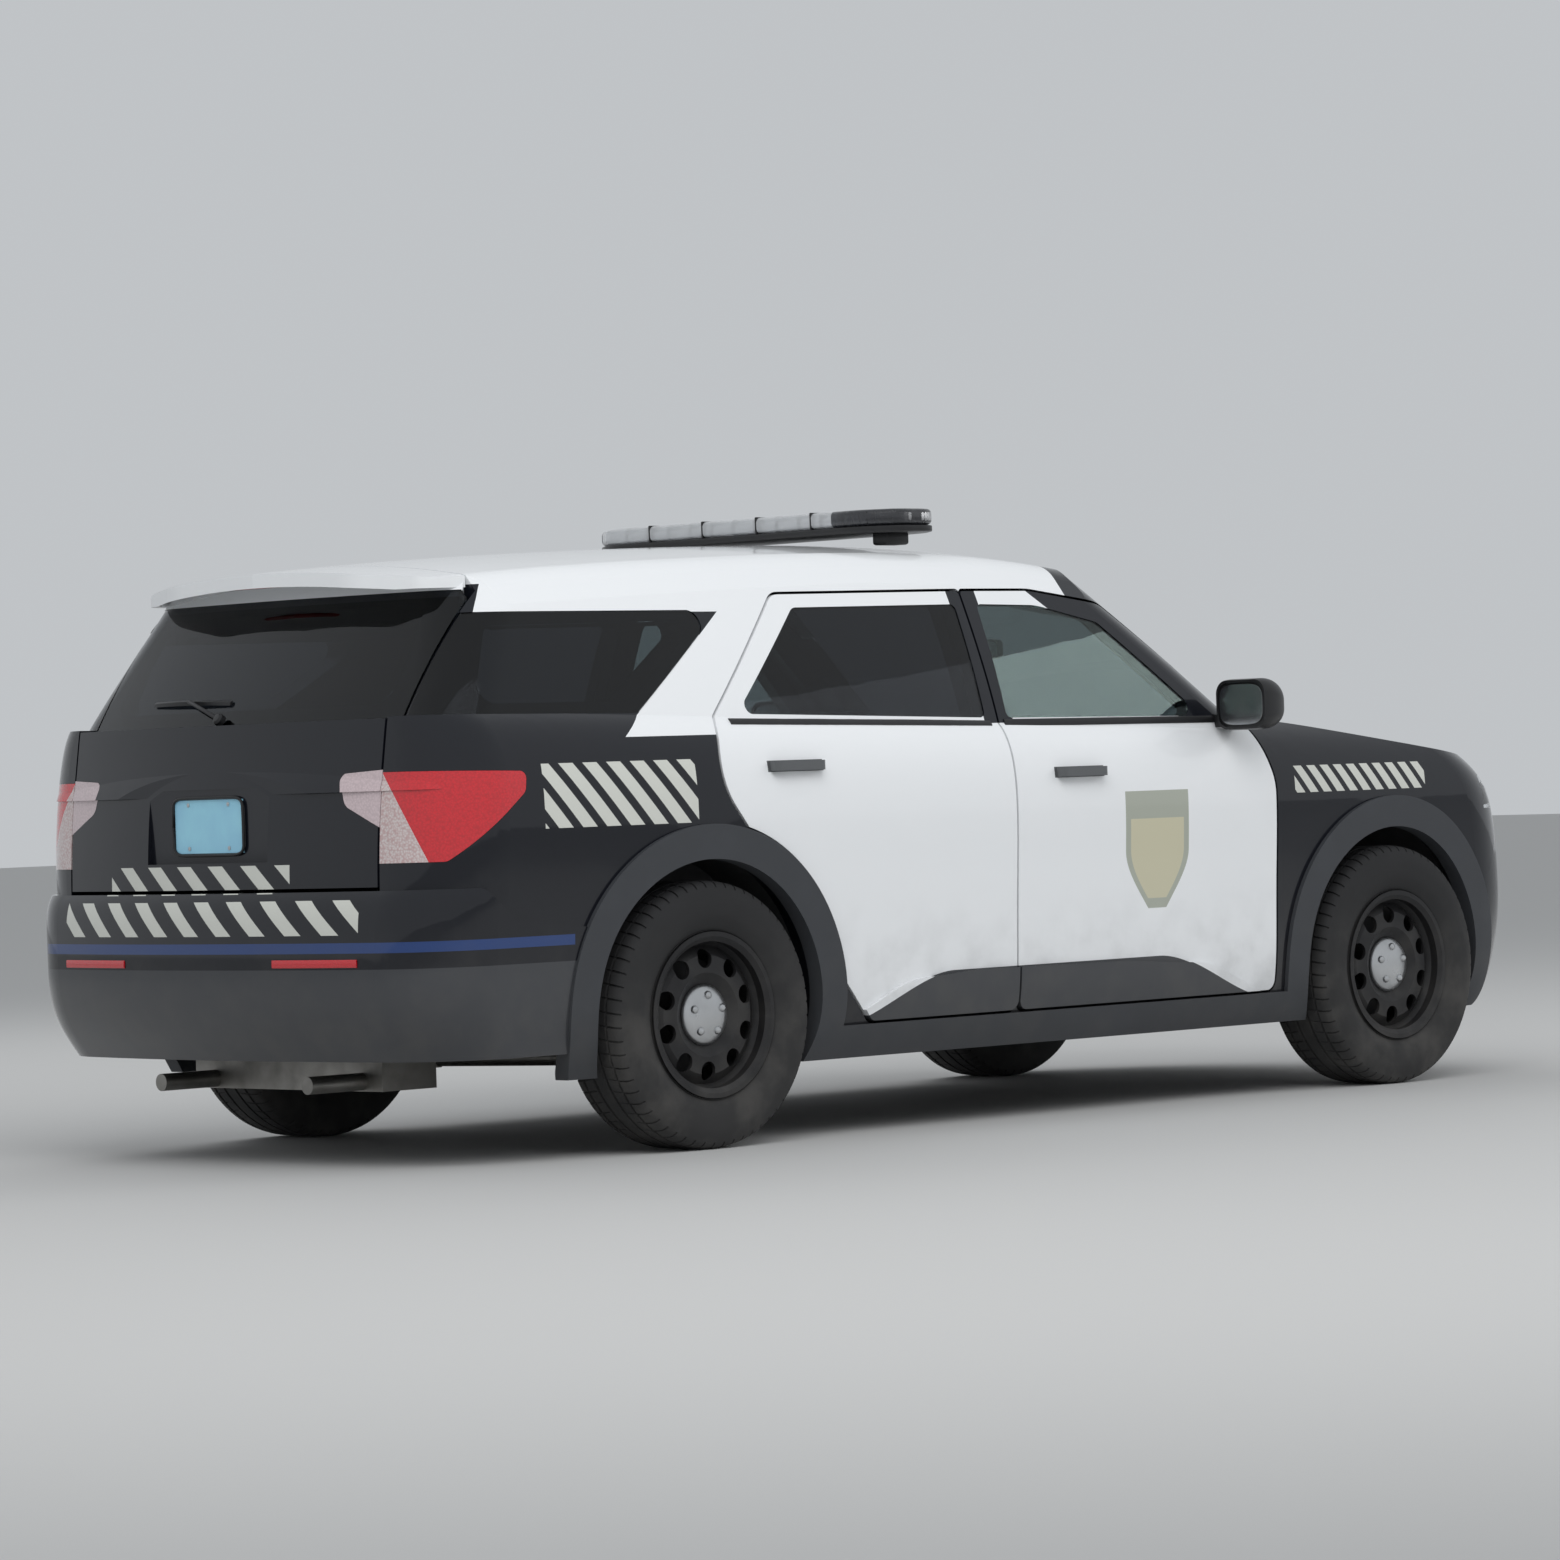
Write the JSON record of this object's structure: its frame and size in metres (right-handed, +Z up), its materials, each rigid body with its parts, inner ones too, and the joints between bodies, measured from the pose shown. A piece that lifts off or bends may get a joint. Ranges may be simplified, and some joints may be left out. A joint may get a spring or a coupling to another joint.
{
  "type": "police patrol car",
  "caption": "Five-door sport-utility patrol car with a roof light bar, steered front wheels, and doors, hood and tailgate that open",
  "frame": {"origin": "on the ground, midway between the bumpers and the two sides", "axes": "+X forward, +Y to the vehicle's left, +Z up"},
  "size_m": [5.0539, 2.2962, 1.848],
  "materials": {
    "body_black": "gloss black paint",
    "body_white": "gloss white paint",
    "grey_plastic": "grained dark grey moulding",
    "dark_plastic": "black moulded plastic",
    "window_glass": "dark tinted glass",
    "clear_lens": "clear lens over white reflector",
    "red_lens": "red lens",
    "plate": "blank pale blue plate",
    "seat_cloth": "dark cloth",
    "underbody_steel": "satin black underbody paint",
    "chassis_steel": "black chassis paint",
    "bare_steel": "dull steel",
    "tyre_rubber": "tyre rubber",
    "wheel_steel": "satin black steel wheel"
  },
  "bodies": {
    "body": {"body_side_left": "body_black", "body_side_right": "body_black", "roof_panel": "body_white", "fenders": "body_black", "front_bumper": "body_black", "rear_bumper": "body_black", "cladding": "grey_plastic", "grille": "dark_plastic", "fixed_glass": "window_glass", "headlamps": "clear_lens", "tail_lamps": "red_lens", "light_bar": "clear_lens", "dashboard": "dark_plastic", "seats": "seat_cloth", "floor": "underbody_steel", "front_structure": "underbody_steel", "front_suspension": "chassis_steel", "rear_suspension": "chassis_steel", "engine": "chassis_steel", "exhaust": "bare_steel", "fuel_tank": "dark_plastic"},
    "hood": {"hood": "body_black"},
    "tailgate": {"tailgate": "body_black", "tailgate_glass": "window_glass", "tailgate_lamps": "red_lens", "number_plate": "plate"},
    "door_front_left": {"door_front_left": "body_white", "glass_front_left": "window_glass", "mirror_left": "dark_plastic"},
    "door_front_right": {"door_front_right": "body_white", "glass_front_right": "window_glass", "mirror_right": "dark_plastic"},
    "door_rear_left": {"door_rear_left": "body_white", "glass_rear_left": "window_glass"},
    "door_rear_right": {"door_rear_right": "body_white", "glass_rear_right": "window_glass"},
    "steering_wheel": {"steering_wheel": "dark_plastic"},
    "knuckle_left": {"knuckle_left": "chassis_steel"},
    "knuckle_right": {"knuckle_right": "chassis_steel"},
    "wheel_front_left": {"wheel_front_left": "wheel_steel", "tyre_front_left": "tyre_rubber"},
    "wheel_front_right": {"wheel_front_right": "wheel_steel", "tyre_front_right": "tyre_rubber"},
    "wheel_rear_left": {"wheel_rear_left": "wheel_steel", "tyre_rear_left": "tyre_rubber"},
    "wheel_rear_right": {"wheel_rear_right": "wheel_steel", "tyre_rear_right": "tyre_rubber"}
  },
  "joints": [
    {"name": "steer_left", "type": "hinge", "parent": "body", "child": "knuckle_left", "pos_m": [1.605, 0.772, 0.232], "axis": [0, -0.2681, 0.9634], "range_deg": [-32, 32]},
    {"name": "steer_right", "type": "hinge", "parent": "body", "child": "knuckle_right", "pos_m": [1.605, -0.772, 0.232], "axis": [0, 0.2681, 0.9634], "range_deg": [-32, 32]},
    {"name": "steering_wheel_turn", "type": "hinge", "parent": "body", "child": "steering_wheel", "pos_m": [0.4, 0.4, 0.9622], "axis": [-0.9559, 0, 0.2938], "range_deg": [-480, 480]},
    {"name": "wheel_front_left_roll", "type": "hinge", "parent": "knuckle_left", "child": "wheel_front_left", "pos_m": [1.605, 0.85, 0.382], "axis": [0, 1, 0], "continuous": true},
    {"name": "wheel_front_right_roll", "type": "hinge", "parent": "knuckle_right", "child": "wheel_front_right", "pos_m": [1.605, -0.85, 0.382], "axis": [0, 1, 0], "continuous": true},
    {"name": "wheel_rear_left_roll", "type": "hinge", "parent": "body", "child": "wheel_rear_left", "pos_m": [-1.42, 0.85, 0.382], "axis": [0, 1, 0], "continuous": true},
    {"name": "wheel_rear_right_roll", "type": "hinge", "parent": "body", "child": "wheel_rear_right", "pos_m": [-1.42, -0.85, 0.382], "axis": [0, 1, 0], "continuous": true},
    {"name": "door_front_left_open", "type": "hinge", "parent": "body", "child": "door_front_left", "pos_m": [1.025, 0.977, 0.65], "axis": [0, 0, -1], "range_deg": [0, 68]},
    {"name": "door_rear_left_open", "type": "hinge", "parent": "body", "child": "door_rear_left", "pos_m": [-0.167, 0.986, 0.65], "axis": [0, 0, -1], "range_deg": [0, 70]},
    {"name": "door_front_right_open", "type": "hinge", "parent": "body", "child": "door_front_right", "pos_m": [1.025, -0.977, 0.65], "axis": [0, 0, 1], "range_deg": [0, 68]},
    {"name": "door_rear_right_open", "type": "hinge", "parent": "body", "child": "door_rear_right", "pos_m": [-0.167, -0.986, 0.65], "axis": [0, 0, 1], "range_deg": [0, 70]},
    {"name": "tailgate_open", "type": "hinge", "parent": "body", "child": "tailgate", "pos_m": [-2.043, 0, 1.697], "axis": [0, 1, 0], "range_deg": [0, 78]},
    {"name": "hood_open", "type": "hinge", "parent": "body", "child": "hood", "pos_m": [1.05, 0, 1.19], "axis": [0, -1, 0], "range_deg": [0, 48]}
  ],
  "couplings": [
    {"joint": "steer_right", "follows": "steer_left", "ratio": 1},
    {"joint": "steering_wheel_turn", "follows": "steer_left", "ratio": 15}
  ]
}
